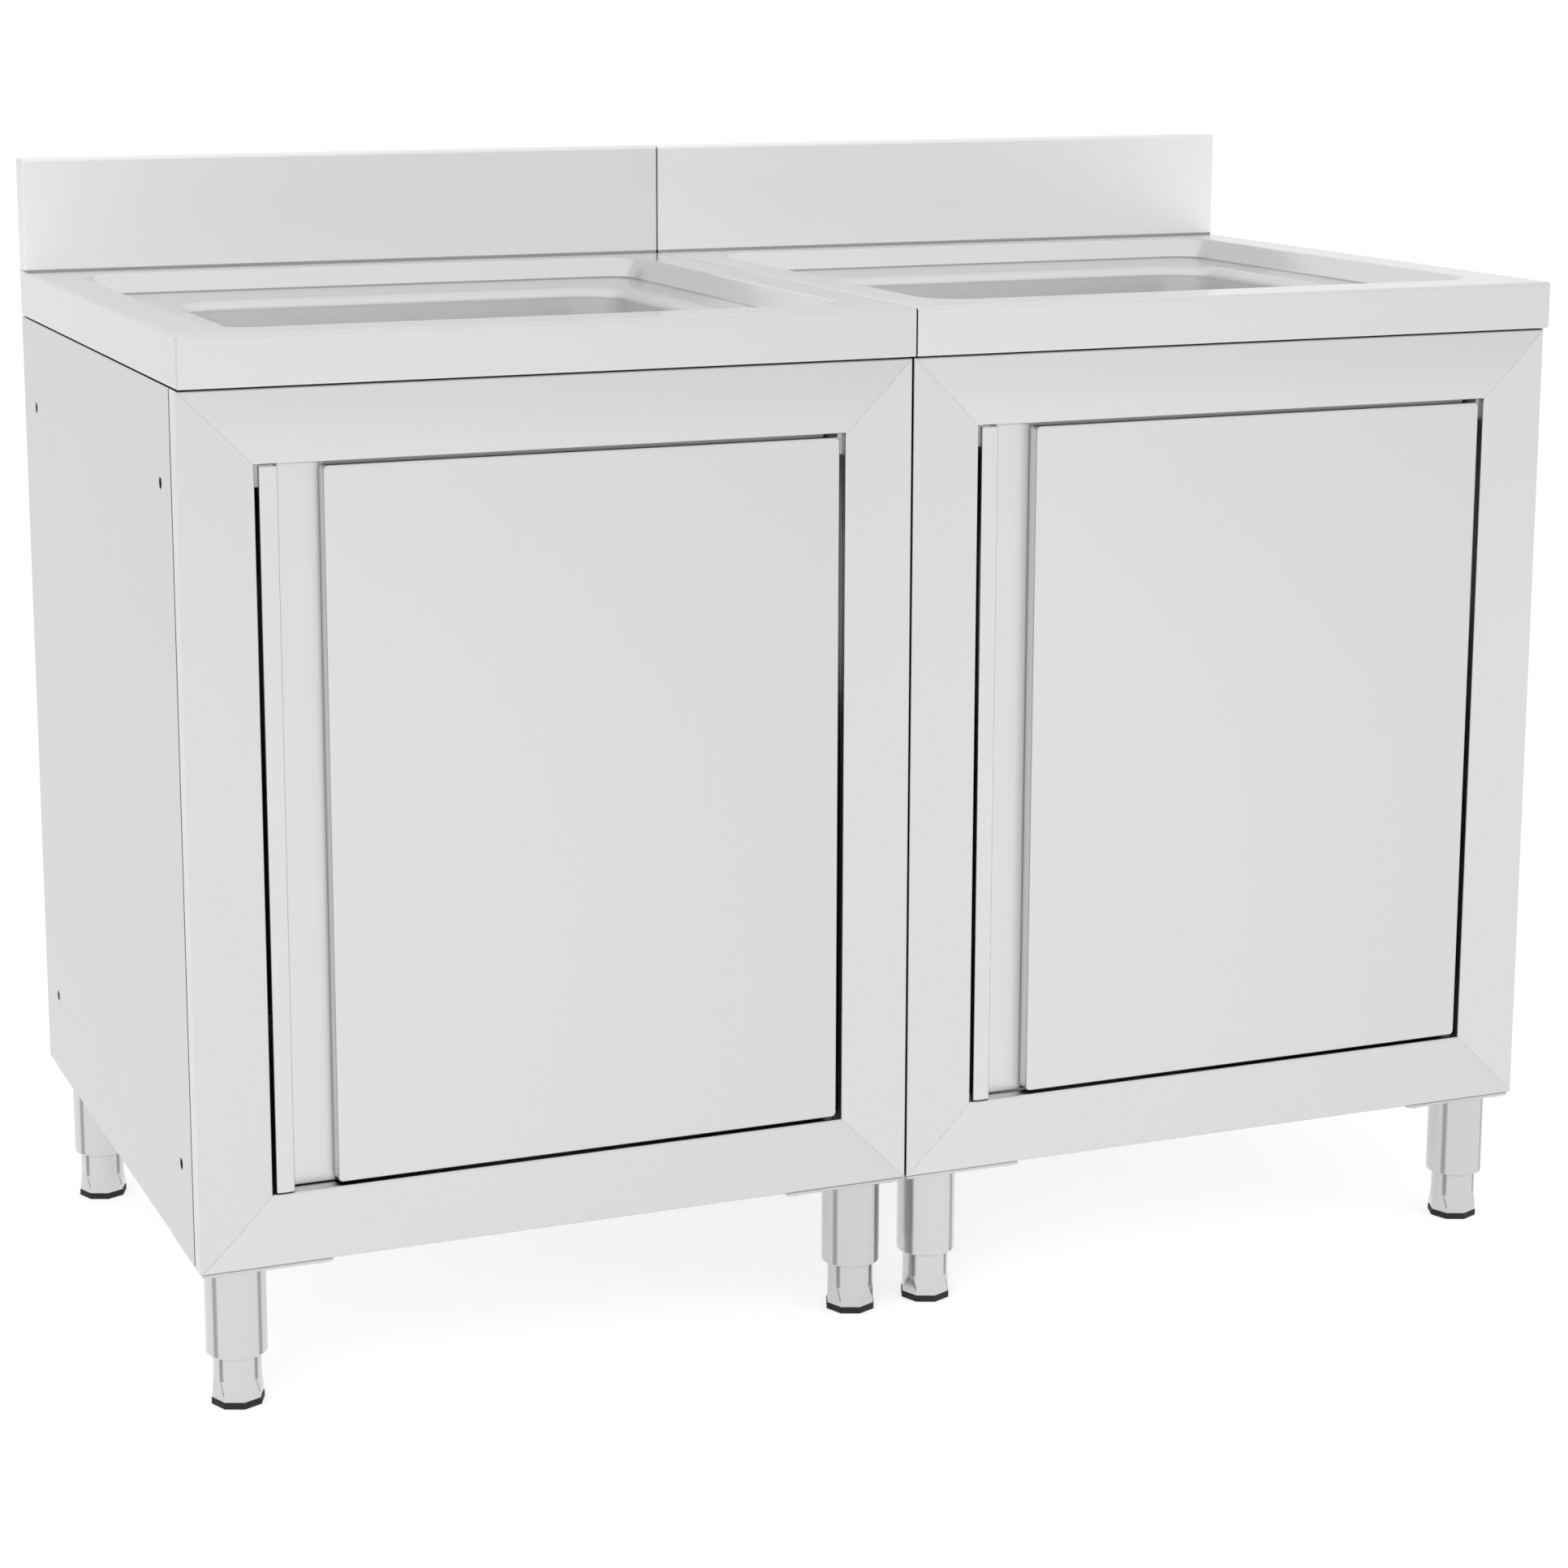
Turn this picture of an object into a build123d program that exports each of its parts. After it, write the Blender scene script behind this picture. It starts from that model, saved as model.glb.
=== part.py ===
from build123d import *
from math import atan, degrees, radians, tan
import os

# Two-bay stainless sink unit: two equal cabinets side by side, each with a pressed
# worktop, a welded bowl, a hinged door and four legs that adjust in height.
# Millimetres. +Z is up, the front looks along -Y, +X is to the right seen from the front.
# The origin is on the floor, under the middle of the pair.

# ---- driving sizes -------------------------------------------------------------
unit_pitch = 600.0          # from one cabinet to the next
depth_total = 607.0         # worktop, front to back
worktop_height = 850.0      # floor to the worktop
upstand_height = 100.0      # splashback above the worktop
upstand_thickness = 22.0
apron_height = 39.5
worktop_sheet = 1.2
worktop_joint = 0.5         # between the two worktops
worktop_edge_radius = 3.0
worktop_end_radius = 2.0
upstand_fold_radius = 1.2   # where the splashback is bent up
worktop_lower_radius = 1.2
worktop_lip = 20.0          # flange folded in under the apron
worktop_hem = 10.0          # its edge, folded back under itself, which rests on the cabinet
upstand_flange = 25.0       # flange folded down behind the splashback

recess_side_border = 39.0
recess_front_border = 50.0
recess_back_border = 35.5
recess_depth = 18.0
recess_slope = 10.0         # how far the recess wall leans in over its depth
recess_corner_radius = 36.0
recess_edge_radius = 3.0

bowl_length = 400.0         # along X, inside
bowl_width = 340.0          # along Y, inside
bowl_depth = 200.0          # below the recess floor
bowl_sheet = 1.2
bowl_roll_radius = 8.0
bowl_corner_radius = 40.0
bowl_slope = 4.0
bowl_floor_radius = 12.0
bowl_flange = 8.0
bowl_front_margin = 38.5    # recess floor in front of the bowl's rolled edge

drain_seat_radius = 45.0
drain_seat_depth = 4.0
drain_hole_radius = 26.0
strainer_radius = 43.0
strainer_flange = 2.0
strainer_tube_radius = 24.0
strainer_tube_wall = 2.5
strainer_tube_length = 38.0
strainer_grid_drop = 5.0
strainer_slots = 6
strainer_slot_length = 13.3
strainer_slot_width = 4.3
strainer_slot_radius = 11.8   # from the middle of the grid to a slot's middle
nut_radius = 36.0
nut_height = 12.0
outlet_radius = 20.0
outlet_wall = 2.0
outlet_length = 60.0
coupling_radius = 29.0
coupling_height = 20.0

leg_height = 120.5          # floor to the cabinet's underside
body_joint = 1.0            # between the two cabinets
front_overhang = 7.0        # worktop in front of the cabinet
body_sheet = 1.2
body_bend_radius = 1.2
side_flange = 18.0
service_length = 180.0      # rear cut-out for the pipes
service_height = 220.0
service_rise = 300.0        # its lower edge above the cabinet's underside
service_offset = 175.0      # its middle, to the right of the cabinet's middle
service_radius = 20.0
floor_return = 15.0

frame_width = 58.5          # face of each mitred member
frame_depth = 21.0
frame_crown = 1.5
frame_bend_radius = 2.2
frame_rear_radius = 1.2
frame_lip = 12.0
stile_return = 8.0
rail_return = 18.5

door_grip_gap = 3.0
door_hinge_gap = 4.5
door_end_gap = 2.5
door_thickness = 18.0
door_sheet = 1.0
door_bend_radius = 2.5
door_corner_radius = 4.0
door_back_return = 5.0
grip_end_gap = 1.0
grip_lip_width = 14.6
grip_channel_width = 35.1
grip_channel_depth = 14.0
grip_lip_return = 5.0
grip_lip_crown = 0.8
grip_sheet = 1.2
grip_bend_radius = 1.6
grip_lap = 16.0

stop_gap = 2.0
stop_drop = 19.3            # how far it shows below the top rail
stop_leg = 15.0
stop_overrun = 14.0         # past the opening at each side
catch_length = 40.0
catch_height = 34.0
catch_depth = 15.0
catch_inset = 30.0
catch_wall = 3.0
catch_corner_radius = 2.5

pin_radius = 3.0
pin_inset = 6.0             # pin axis from the door's edge
pin_setback = 7.0           # pin axis behind the door's face
pin_head_radius = 4.6
pin_head_height = 3.0
pin_engagement = 12.0
pin_running_gap = 0.08
pin_hole_gap = 0.4
bush_radius = 4.5
bush_flange_radius = 5.7
bush_running_gap = 0.3
bush_length = 15.0

side_hole_radius = 4.75
side_hole_front = 58.5      # from the cabinet's front
side_hole_rear = 53.5       # from the cabinet's back
side_hole_rise = 72.5       # from the cabinet's underside
side_hole_drop = 76.3       # from the cabinet's top
joint_bolt_radius = 4.0
joint_bolt_head_radius = 7.5
joint_bolt_head_height = 5.0

plate_size = 105.0
plate_thickness = 3.0
plate_inset = 1.5           # from the cabinet's side and front
rear_plate_inset = 21.0
plate_corner_radius = 4.0
leg_inset = 33.0            # leg axis from the plate's outer edges
sleeve_radius = 24.3
sleeve_wall = 2.0
sleeve_bottom = 42.5        # height of its lower end above the floor
sleeve_edge_break = 0.8
collar_height = 8.0
foot_radius = 19.05
foot_wall = 1.5
foot_running_gap = 0.3
foot_top = 100.0
foot_round_height = 25.0    # where the octagon has run out into the round tube
foot_octagon_height = 11.0
foot_base_radius = 20.8
sole_radius = 21.5
sole_height = 5.5
leg_bolt_radius = 4.0
leg_bolt_hole_gap = 0.3
leg_bolt_head_radius = 6.5
leg_bolt_head_height = 3.5
leg_bolt_inset = 10.0
leg_bolt_reach = 6.0        # shank above the cabinet's underside
leg_bolt_head_lean = 30.0    # its side leans in towards the crown, degrees
leg_bolt_head_sides = 12
leg_bolt_shank_sides = 8

seat_gap = 0.3              # clearance between pieces that lie beside each other
overcut = 1.0               # how far a cutting form reaches past the face it cuts

# ---- places that follow from the sizes -------------------------------------------
worktop_front = -depth_total / 2
worktop_back = depth_total / 2
worktop_left = worktop_joint / 2
worktop_right = unit_pitch - worktop_joint / 2
worktop_middle = unit_pitch / 2
upstand_front = worktop_back - upstand_thickness
upstand_top = worktop_height + upstand_height
apron_bottom = worktop_height - apron_height
body_top = apron_bottom - worktop_sheet
body_bottom = leg_height
body_height = body_top - body_bottom
body_left = body_joint / 2
body_right = unit_pitch - body_joint / 2
body_front = worktop_front + front_overhang
body_back = worktop_back
body_middle_height = (body_top + body_bottom) / 2

recess_floor = worktop_height - recess_depth
recess_length = unit_pitch - 2 * recess_side_border
recess_front = worktop_front + recess_front_border
recess_back = upstand_front - recess_back_border
recess_width = recess_back - recess_front
recess_centre_y = (recess_front + recess_back) / 2
recess_lean = degrees(atan(recess_slope / recess_depth))
bowl_lean = degrees(atan(bowl_slope / bowl_depth))
bowl_front = recess_front + recess_slope + bowl_front_margin + bowl_roll_radius
bowl_centre_y = bowl_front + bowl_width / 2
bowl_floor = recess_floor - bowl_depth
drain_floor = bowl_floor - drain_seat_depth

opening_left = body_left + frame_width
opening_right = body_right - frame_width
opening_bottom = body_bottom + frame_width
opening_top = body_top - frame_width
frame_back = body_front + frame_depth

door_left = opening_left + door_grip_gap
door_right = opening_right - door_hinge_gap
door_bottom = opening_bottom + door_end_gap
door_top = opening_top - door_end_gap
door_back_face = body_front + door_thickness
panel_left = door_left + grip_lip_width + grip_channel_width
channel_floor = body_front + grip_channel_depth
stop_face = door_back_face + stop_gap
stop_bottom = opening_top - stop_drop
hinge_x = door_right - pin_inset
hinge_y = body_front + pin_setback

plate_top = body_bottom
plate_bottom = plate_top - plate_thickness
leg_from_side = body_left + plate_inset + leg_inset
leg_front_y = body_front + plate_inset + leg_inset
leg_rear_y = body_back - rear_plate_inset - leg_inset
side_hole_ys = [body_front + side_hole_front, body_back - side_hole_rear]
side_hole_zs = [body_bottom + side_hole_rise, body_top - side_hole_drop]

corners = {
    "front_left": (leg_from_side, leg_front_y, 1, 1),
    "front_right": (unit_pitch - leg_from_side, leg_front_y, -1, 1),
    "rear_left": (leg_from_side, leg_rear_y, 1, -1),
    "rear_right": (unit_pitch - leg_from_side, leg_rear_y, -1, -1),
}


# ---- small building steps ----------------------------------------------------------
def block(x0, x1, y0, y1, z0, z1):
    """A box between two opposite corners."""
    middle = Pos((x0 + x1) / 2, (y0 + y1) / 2, (z0 + z1) / 2)
    return middle * Box(x1 - x0, y1 - y0, z1 - z0)


def upright(radius, z0, z1, x=0.0, y=0.0):
    """An upright cylinder between two heights."""
    return Pos(x, y, (z0 + z1) / 2) * Cylinder(radius, z1 - z0)


def across(radius, x0, x1, y, z):
    """A cylinder that lies along X."""
    return Pos((x0 + x1) / 2, y, z) * Rot(0, 90, 0) * Cylinder(radius, x1 - x0)


def sloped_pocket(length, width, corner, lean, top, bottom, centre_y):
    """A rounded pocket, of this length and width at its top, whose walls lean in downwards."""
    inset = (top - bottom) * tan(radians(lean))
    floor = RectangleRounded(length - 2 * inset, width - 2 * inset, corner - inset)
    return extrude(Pos(worktop_middle, centre_y, bottom) * floor, amount=top - bottom, taper=-lean)


def edges_at_height(shape, z, tolerance=0.01):
    """The edges that lie flat at one height."""
    flat = [e for e in shape.edges() if abs(e.bounding_box().min.Z - z) < tolerance]
    return ShapeList([e for e in flat if abs(e.bounding_box().max.Z - z) < tolerance])


def inside_outline(edges, length, width, centre_y, margin=1.0):
    """Of these edges, the ones within a rectangle round the middle of the unit."""
    kept = []
    for edge in edges:
        box = edge.bounding_box()
        reach_x = max(box.max.X - worktop_middle, worktop_middle - box.min.X)
        reach_y = max(box.max.Y - centre_y, centre_y - box.min.Y)
        if reach_x < length / 2 + margin and reach_y < width / 2 + margin:
            kept.append(edge)
    return ShapeList(kept)


def mirrored(shape):
    """The same piece for the other side of the unit."""
    return shape.mirror(Plane.YZ.offset(worktop_middle))


# ---- worktop, bowl and waste -------------------------------------------------------
def worktop_profile():
    """Side view of the worktop: apron, flat top and splashback, with its folds rounded."""
    points = [
        (worktop_front, apron_bottom),
        (worktop_front, worktop_height),
        (upstand_front, worktop_height),
        (upstand_front, upstand_top),
        (worktop_back, upstand_top),
        (worktop_back, apron_bottom),
    ]
    outline = make_face(Polyline(*points, close=True))
    outline = fillet(vertices_at(outline, [(upstand_front, worktop_height)]), upstand_fold_radius)
    outer_folds = [(worktop_front, worktop_height), (upstand_front, upstand_top), (worktop_back, upstand_top)]
    return fillet(vertices_at(outline, outer_folds), worktop_edge_radius)


def worktop_form(left, right, inset, end_radius):
    """The profile drawn out from end to end, with its end edges rounded."""
    profile = worktop_profile() if inset == 0 else offset(worktop_profile(), amount=-inset)
    form = extrude(Plane.YZ.offset(left) * profile, amount=right - left)
    ends = [e for e in form.edges() if abs(e.bounding_box().max.X - e.bounding_box().min.X) < 0.01]
    ends = [e for e in ends if e.bounding_box().max.Z > apron_bottom + inset + overcut / 2]
    if end_radius == 0:
        return form
    form = fillet(ends, end_radius)
    return fillet(edges_at_height(form, apron_bottom), worktop_lower_radius)


def worktop():
    """One folded sheet with the pressed recess; the splashback is open behind."""
    outer = worktop_form(worktop_left, worktop_right, 0, worktop_end_radius)
    inner = worktop_form(worktop_left + worktop_sheet, worktop_right - worktop_sheet, worktop_sheet, 0)
    shell = outer - inner
    shell -= block(
        worktop_left + worktop_lip, worktop_right - worktop_lip,
        worktop_front + worktop_lip, worktop_back - worktop_lip,
        apron_bottom - overcut, apron_bottom + worktop_sheet + overcut / 2,
    )
    shell += worktop_hem_strip()
    shell -= block(
        worktop_left + worktop_lip, worktop_right - worktop_lip,
        worktop_back - worktop_sheet - overcut, worktop_back + overcut,
        worktop_height + worktop_lip, upstand_top - upstand_flange,
    )
    pan = sloped_pocket(
        recess_length + 2 * worktop_sheet, recess_width + 2 * worktop_sheet,
        recess_corner_radius + worktop_sheet, recess_lean,
        worktop_height - worktop_sheet / 2, recess_floor - worktop_sheet, recess_centre_y,
    )
    cavity = sloped_pocket(
        recess_length, recess_width, recess_corner_radius, recess_lean,
        worktop_height, recess_floor, recess_centre_y,
    )
    sheet = shell + pan - cavity
    rim = inside_outline(edges_at_height(sheet, worktop_height), recess_length, recess_width, recess_centre_y)
    sheet = fillet(rim, recess_edge_radius)
    foot = inside_outline(edges_at_height(sheet, recess_floor), recess_length, recess_width, recess_centre_y)
    sheet = fillet(foot, recess_edge_radius)
    return sheet - bowl_cut_out()


def worktop_hem_strip():
    """The lip's edge folded back under itself, all round."""
    outer = worktop_lip - worktop_hem
    strip = block(
        worktop_left + outer, worktop_right - outer, worktop_front + outer, worktop_back - outer,
        body_top, apron_bottom,
    )
    return strip - block(
        worktop_left + worktop_lip, worktop_right - worktop_lip,
        worktop_front + worktop_lip, worktop_back - worktop_lip,
        body_top - overcut, apron_bottom + overcut,
    )


def bowl_flange_outline():
    """Outer outline of the bowl's flat flange."""
    grow = 2 * (bowl_roll_radius + bowl_flange)
    corner = bowl_corner_radius + bowl_roll_radius + bowl_flange
    return RectangleRounded(bowl_length + grow, bowl_width + grow, corner)


def bowl_cut_out():
    """The hole in the recess floor that the bowl is welded into, edge to edge."""
    start = Pos(worktop_middle, bowl_centre_y, recess_floor - worktop_sheet - overcut)
    return extrude(start * bowl_flange_outline(), amount=worktop_sheet + 2 * overcut)


def sink_bowl():
    """Pressed bowl: flat flange, rolled edge, sloping walls and a seat for the waste."""
    flange_start = Pos(worktop_middle, bowl_centre_y, recess_floor - bowl_sheet)
    flange = extrude(flange_start * bowl_flange_outline(), amount=bowl_sheet)
    wall = bowl_sheet
    outer = sloped_pocket(
        bowl_length + 2 * wall, bowl_width + 2 * wall, bowl_corner_radius + wall, bowl_lean,
        recess_floor - wall / 2, bowl_floor - wall, bowl_centre_y,
    )
    outer = fillet(edges_at_height(outer, bowl_floor - wall), bowl_floor_radius + wall)
    solid = flange + outer
    under = inside_outline(
        edges_at_height(solid, recess_floor - wall), bowl_length, bowl_width, bowl_centre_y, wall + overcut
    )
    solid = fillet(under, bowl_roll_radius - wall)
    cavity = sloped_pocket(
        bowl_length, bowl_width, bowl_corner_radius, bowl_lean,
        recess_floor, bowl_floor, bowl_centre_y,
    )
    cavity = fillet(edges_at_height(cavity, bowl_floor), bowl_floor_radius)
    bowl = solid - cavity
    rim = inside_outline(edges_at_height(bowl, recess_floor), bowl_length, bowl_width, bowl_centre_y)
    bowl = fillet(rim, bowl_roll_radius)
    x, y = worktop_middle, bowl_centre_y
    seat = upright(drain_seat_radius + wall, drain_floor - wall, bowl_floor - wall / 2, x, y)
    seat -= upright(drain_seat_radius, drain_floor, bowl_floor, x, y)
    bowl -= upright(drain_seat_radius, bowl_floor - wall - overcut, bowl_floor + overcut, x, y)
    return bowl + seat - upright(drain_hole_radius, drain_floor - wall - overcut, bowl_floor, x, y)


def waste_strainer():
    """Flanged strainer cup with a slotted grid, dropped into the bowl's seat."""
    x, y = worktop_middle, bowl_centre_y
    tube_bottom = drain_floor - strainer_tube_length
    tube_bore = strainer_tube_radius - strainer_tube_wall
    cup = upright(strainer_radius, drain_floor, drain_floor + strainer_flange, x, y)
    cup += upright(strainer_tube_radius, tube_bottom, drain_floor, x, y)
    grid_top = drain_floor + strainer_flange - strainer_grid_drop
    cup -= upright(tube_bore, grid_top, drain_floor + strainer_flange + overcut, x, y)
    cup -= upright(tube_bore, tube_bottom - overcut, grid_top - strainer_flange, x, y)
    slot = extrude(SlotOverall(strainer_slot_length, strainer_slot_width), amount=strainer_grid_drop * 2)
    slot = Pos(strainer_slot_radius, 0, 0) * slot
    for turn in range(strainer_slots):
        angle = 360 / strainer_slots * turn
        cup -= Pos(x, y, grid_top - strainer_grid_drop) * Rot(0, 0, angle) * slot
    return cup


def waste_nut():
    """Hexagon back nut that clamps the strainer from below."""
    top = drain_floor - bowl_sheet
    nut = extrude(RegularPolygon(nut_radius, 6), amount=nut_height)
    nut = Pos(worktop_middle, bowl_centre_y, top - nut_height) * nut
    bore = strainer_tube_radius + seat_gap
    return nut - upright(bore, top - nut_height - overcut, top + overcut, worktop_middle, bowl_centre_y)


def waste_outlet():
    """Coupling and outlet pipe on the strainer's tube; the trap is fastened to its free end."""
    x, y = worktop_middle, bowl_centre_y
    tube_end = drain_floor - strainer_tube_length
    top = tube_end + coupling_height / 2
    low = top - coupling_height
    outlet = upright(coupling_radius, low, top, x, y)
    outlet += upright(outlet_radius, low - outlet_length, low, x, y)
    outlet -= upright(strainer_tube_radius + seat_gap, tube_end, top + overcut, x, y)
    return outlet - upright(outlet_radius - outlet_wall, low - outlet_length - overcut, top, x, y)


# ---- cabinet ---------------------------------------------------------------------------
def leg_bolt_holes():
    """Clearance for the leg bolts through the cabinet's lower sheets."""
    hole = leg_bolt_radius + leg_bolt_hole_gap
    holes = []
    for place in corners.values():
        for x, y in bolt_places(*place):
            holes.append(upright(hole, body_bottom - overcut, body_bottom + leg_bolt_reach + overcut, x, y))
    return holes


def side_panel():
    """Left side: a tray of folded sheet, open to the inside, with four joining holes."""
    tray = block(body_left, body_left + side_flange, frame_back, body_back, body_bottom, body_top)
    outer_face = tray.faces().sort_by(Axis.X)[0]
    tray = fillet(outer_face.edges(), body_bend_radius)
    s = body_sheet
    hollow = block(
        body_left + s, body_left + side_flange + overcut, frame_back + s, body_back - s,
        body_bottom + s, body_top - s,
    )
    tray -= hollow
    for y in side_hole_ys:
        for z in side_hole_zs:
            tray -= across(side_hole_radius, body_left - overcut, body_left + s + overcut, y, z)
    return tray - leg_bolt_holes()


def back_panel():
    """Back sheet between the side trays, with the cut-out for the pipes."""
    s = body_sheet
    panel = block(
        body_left + s + seat_gap, body_right - s - seat_gap,
        body_back - 2 * s, body_back - s,
        body_bottom + s + seat_gap, body_top - s - seat_gap,
    )
    low = body_bottom + service_rise
    hatch = extrude(
        RectangleRounded(service_length, service_height, service_radius), amount=4 * s, both=True
    )
    place = Pos(worktop_middle + service_offset, body_back, low + service_height / 2)
    return panel - place * Rot(90, 0, 0) * hatch


def bottom_panel():
    """Cabinet floor: a tray with its edges turned up, resting on the side flanges."""
    s = body_sheet
    x0, x1 = body_left + s + seat_gap, body_right - s - seat_gap
    y0, y1 = frame_back + s + seat_gap, body_back - 2 * s - seat_gap
    low = body_bottom + s
    tray = block(x0, x1, y0, y1, low, low + floor_return)
    tray -= block(x0 + s, x1 - s, y0 + s, y1 - s, low + s, low + floor_return + overcut)
    return tray - leg_bolt_holes()


def member_section(opening_return):
    """Section of a frame member: crowned face, outer return with a lip, opening return."""
    left_foot = (0, 0)
    right_foot = (frame_width, 0)
    face = ThreePointArc(left_foot, (frame_width / 2, -frame_crown), right_foot)
    rest = Polyline(right_foot, (frame_width, frame_depth), (0, frame_depth), left_foot)
    outline = make_face([face, rest])
    outline = fillet(outline.vertices().group_by(Axis.Y)[0], frame_bend_radius)
    outline = fillet(outline.vertices().group_by(Axis.Y)[-1], frame_rear_radius)
    ring = outline - offset(outline, amount=-body_sheet)
    window_width = frame_width - frame_lip
    window_depth = frame_depth - opening_return
    window = Rectangle(window_width + overcut, window_depth + overcut, align=(Align.MIN, Align.MIN))
    return ring - Pos(frame_lip, opening_return) * window


def frame_stile():
    """Left stile, mitred at both ends."""
    section = member_section(stile_return)
    stile = extrude(Pos(body_left, body_front, body_bottom) * section, amount=body_height)
    w = frame_width
    points = [
        (body_left, body_bottom), (body_left + w, body_bottom + w),
        (body_left + w, body_top - w), (body_left, body_top),
    ]
    stile = stile & mitre_block(points)
    return stile - leg_bolt_holes()


def mitred_rail():
    """The rail's form at the bottom of the frame, mitred at both ends, without its holes."""
    section = member_section(rail_return)
    plane = Plane(origin=(body_right, body_front, body_bottom), x_dir=(0, 0, 1), z_dir=(-1, 0, 0))
    rail = extrude(plane * section, amount=body_right - body_left)
    w = frame_width
    points = [
        (body_left, body_bottom), (body_right, body_bottom),
        (body_right - w, body_bottom + w), (body_left + w, body_bottom + w),
    ]
    return rail & mitre_block(points)


def pivot_hole(low, high):
    """Hole for a pivot pin through the sheet between two heights."""
    return upright(pin_radius + pin_hole_gap, low - overcut, high + overcut, hinge_x, hinge_y)


def mitre_block(points):
    """A thick plate with this outline in the front view, used to cut the mitres."""
    outline = make_face(Polyline(*points, close=True))
    reach = frame_depth * 2
    plate = extrude(Plane.XZ.offset(-body_front - reach) * outline, amount=2 * reach)
    return plate


def frame_rail_bottom():
    """Bottom rail: the door's lower pin stands in its return, leg bolts pass its underside."""
    rail = mitred_rail() - pivot_hole(opening_bottom - body_sheet, opening_bottom)
    return rail - leg_bolt_holes()


def frame_rail_top():
    """Top rail: the same form turned over, with the hole for the upper pin."""
    rail = mitred_rail().mirror(Plane.XY.offset(body_middle_height))
    return rail - pivot_hole(opening_top, opening_top + body_sheet)


def door_stop():
    """Angle on the top rail's return; the door closes against its web."""
    s = body_sheet
    x0, x1 = opening_left - stop_overrun, opening_right + stop_overrun
    seat = opening_top + s
    angle = block(x0, x1, stop_face, stop_face + s, stop_bottom, seat + s)
    angle += block(x0, x1, stop_face - stop_leg, stop_face + s, seat, seat + s)
    return angle - pivot_hole(seat, seat + s)


def magnet_catch():
    """Magnetic catch behind the stop, with its nose under the web, facing the door."""
    x0 = opening_left + catch_inset
    back = stop_face + body_sheet
    top = stop_bottom + catch_height / 2
    case = block(x0, x0 + catch_length, back, back + catch_depth, top - catch_height, top)
    case = fillet(case.edges().filter_by(Axis.Y), catch_corner_radius)
    nose_top = stop_bottom - seat_gap
    nose_low = top - catch_height + catch_wall
    nose = block(x0, x0 + catch_length, door_back_face + seat_gap, back + catch_wall, nose_low, nose_top)
    return case + nose


def hinge_pins():
    """Two headed pivot pins: one hangs through the top rail, one stands in the bottom rail."""
    s = body_sheet
    top_seat = opening_top + 2 * s
    top = upright(pin_head_radius, top_seat, top_seat + pin_head_height, hinge_x, hinge_y)
    top += upright(pin_radius, door_top - pin_engagement, top_seat, hinge_x, hinge_y)
    low_seat = opening_bottom - s
    low = upright(pin_head_radius, low_seat - pin_head_height, low_seat, hinge_x, hinge_y)
    low += upright(pin_radius, low_seat, door_bottom + pin_engagement, hinge_x, hinge_y)
    return Compound([top.solid(), low.solid()])


# ---- door ---------------------------------------------------------------------------------
def door_tray(left, right, low, high, front, back, radius, bend, wall):
    """A folded tray open at the back, its front edges and corners rounded."""
    length, height = right - left, high - low
    centre = Pos((left + right) / 2, back, (low + high) / 2)
    outer = extrude(RectangleRounded(length, height, radius), amount=back - front)
    outer = fillet(outer.faces().sort_by(Axis.Z)[-1].edges(), bend)
    inner = extrude(
        RectangleRounded(length - 2 * wall, height - 2 * wall, radius - wall),
        amount=back - front - wall,
    )
    return centre * Rot(90, 0, 0) * (outer - inner)


def door_front():
    """Outer skin of the door, with bush holes at the pivot."""
    skin = door_tray(
        panel_left, door_right, door_bottom, door_top, body_front, door_back_face,
        door_corner_radius, door_bend_radius, door_sheet,
    )
    hole = bush_radius + pin_running_gap
    skin -= upright(hole, door_bottom - overcut, door_top + overcut, hinge_x, hinge_y)
    return skin - block(
        panel_left - overcut, panel_left + door_corner_radius + seat_gap,
        channel_floor, door_back_face + overcut, door_bottom - overcut, door_top + overcut,
    )


def door_back():
    """Inner skin, nested in the outer one; its left edge closes on the grip's lap."""
    s = door_sheet
    x0, x1 = panel_left + s + seat_gap, door_right - s - seat_gap
    z0, z1 = door_bottom + s + seat_gap, door_top - s - seat_gap
    lap_back = channel_floor + grip_sheet
    skin = block(x0, x1, door_back_face - door_back_return, door_back_face, z0, z1)
    skin = fillet(skin.edges().filter_by(Axis.Y), door_corner_radius - s - seat_gap)
    skin -= block(
        x0 + s, x1 - s, door_back_face - door_back_return - overcut, door_back_face - s, z0 + s, z1 - s
    )
    return skin - block(
        x0 - overcut, x0 + grip_lap, door_back_face - door_back_return - overcut, lap_back,
        z0 - overcut, z1 + overcut,
    )


def grip_section():
    """Section of the grip: returned lip, wall, channel floor and the lap behind the door skin."""
    lip_left, lip_right = door_left, door_left + grip_lip_width
    front, floor = body_front, channel_floor
    end = panel_left + grip_lap
    crown = ThreePointArc(
        (lip_left, front), ((lip_left + lip_right) / 2, front - grip_lip_crown), (lip_right, front)
    )
    t = grip_sheet
    rest = Polyline(
        (lip_right, front), (lip_right, floor), (end, floor), (end, floor + t),
        (lip_right - t, floor + t), (lip_right - t, front + t), (lip_left + t, front + t),
        (lip_left + t, front + grip_lip_return), (lip_left, front + grip_lip_return), (lip_left, front),
    )
    section = make_face([crown, rest])
    outer_folds = [(lip_left, front), (lip_right, front), (lip_right - t, floor + t)]
    inner_folds = [(lip_left + t, front + t), (lip_right - t, front + t), (lip_right, floor)]
    section = fillet(vertices_at(section, outer_folds), grip_bend_radius)
    return fillet(vertices_at(section, inner_folds), grip_bend_radius - t)


def vertices_at(shape, points):
    """The corners of a flat outline that lie at these points."""
    return [v for v in shape.vertices() for p in points if abs(v.X - p[0]) + abs(v.Y - p[1]) < 0.01]


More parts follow.
